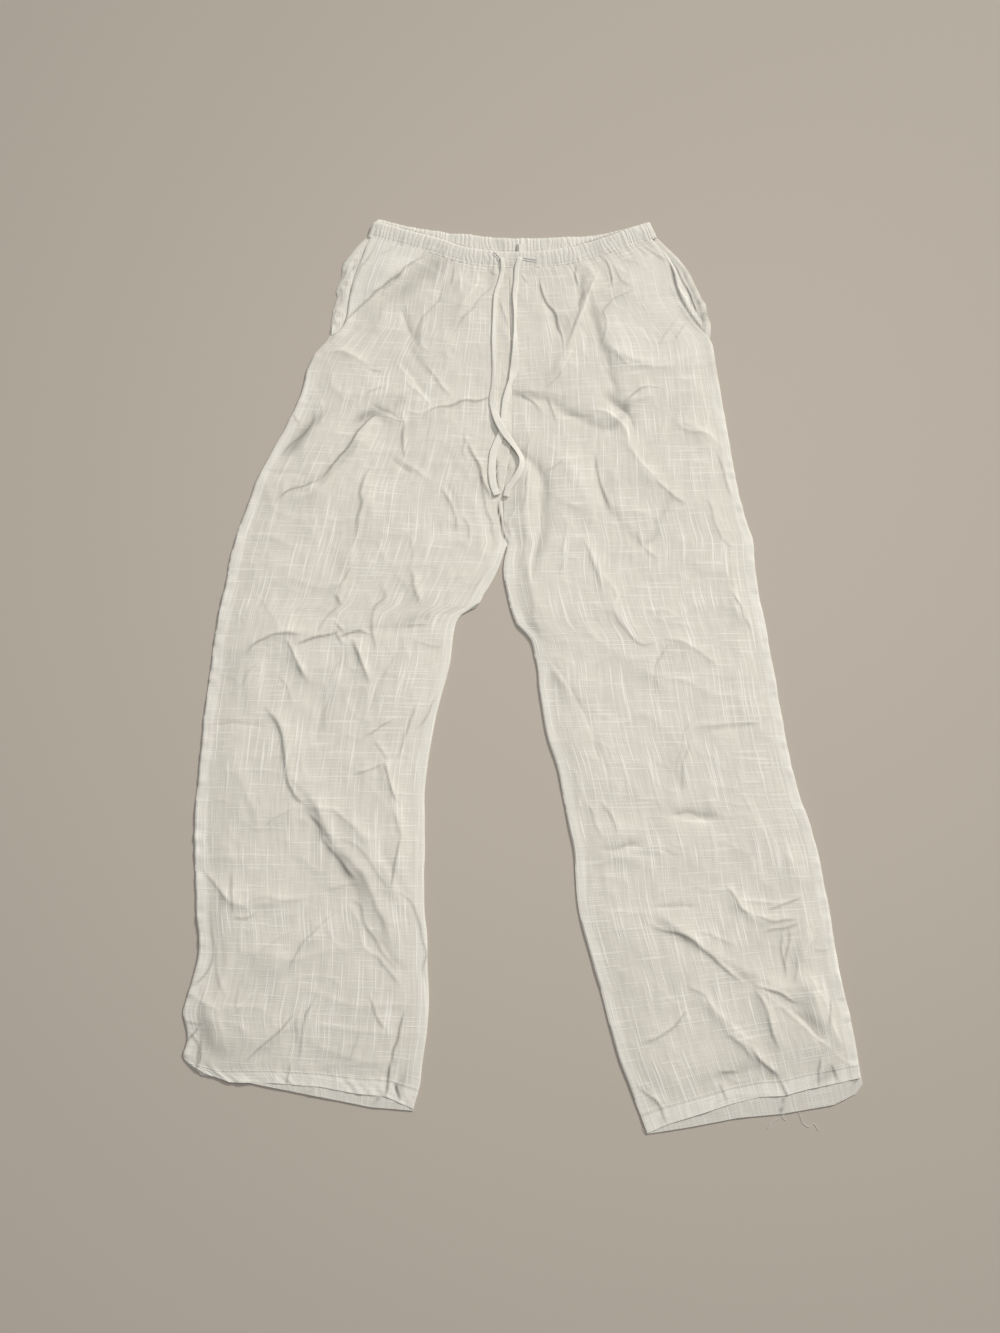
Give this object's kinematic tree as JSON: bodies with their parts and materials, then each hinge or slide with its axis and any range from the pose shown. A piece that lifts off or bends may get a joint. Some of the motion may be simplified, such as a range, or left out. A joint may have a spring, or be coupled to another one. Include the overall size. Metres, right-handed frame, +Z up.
{
  "type": "drawstring trousers",
  "caption": "Loose straight-leg trousers of white slub linen with a gathered elastic waist, laid flat front up, the drawstring's free ends loose on the front.",
  "frame": {"origin": "centre of the garment's box, without the drawstring's ends, on the surface that the back lies on", "axes": "+Z up out of the front, +Y from the hems to the waist, +X towards the wearer's left leg"},
  "size_m": [0.722, 1.078, 0.0169],
  "materials": {
    "slub_linen": "matte slub weave, off-white",
    "casing_linen": "matte slub weave, gathered, off-white",
    "pocket_linen": "matte plain weave, off-white",
    "label_tape": "smooth woven tape, grey, blank",
    "drawstring_linen": "matte flat tie, off-white"
  },
  "bodies": {
    "root": {"back_panel_r": "slub_linen", "back_panel_l": "slub_linen", "front_panel_r": "slub_linen", "front_panel_l": "slub_linen", "back_waistband": "casing_linen", "front_waistband": "casing_linen", "pocket_bag_r": "pocket_linen", "pocket_bag_l": "pocket_linen", "size_label_blank": "label_tape", "drawstring_r": "drawstring_linen", "drawstring_l": "drawstring_linen"}
  },
  "joints": []
}
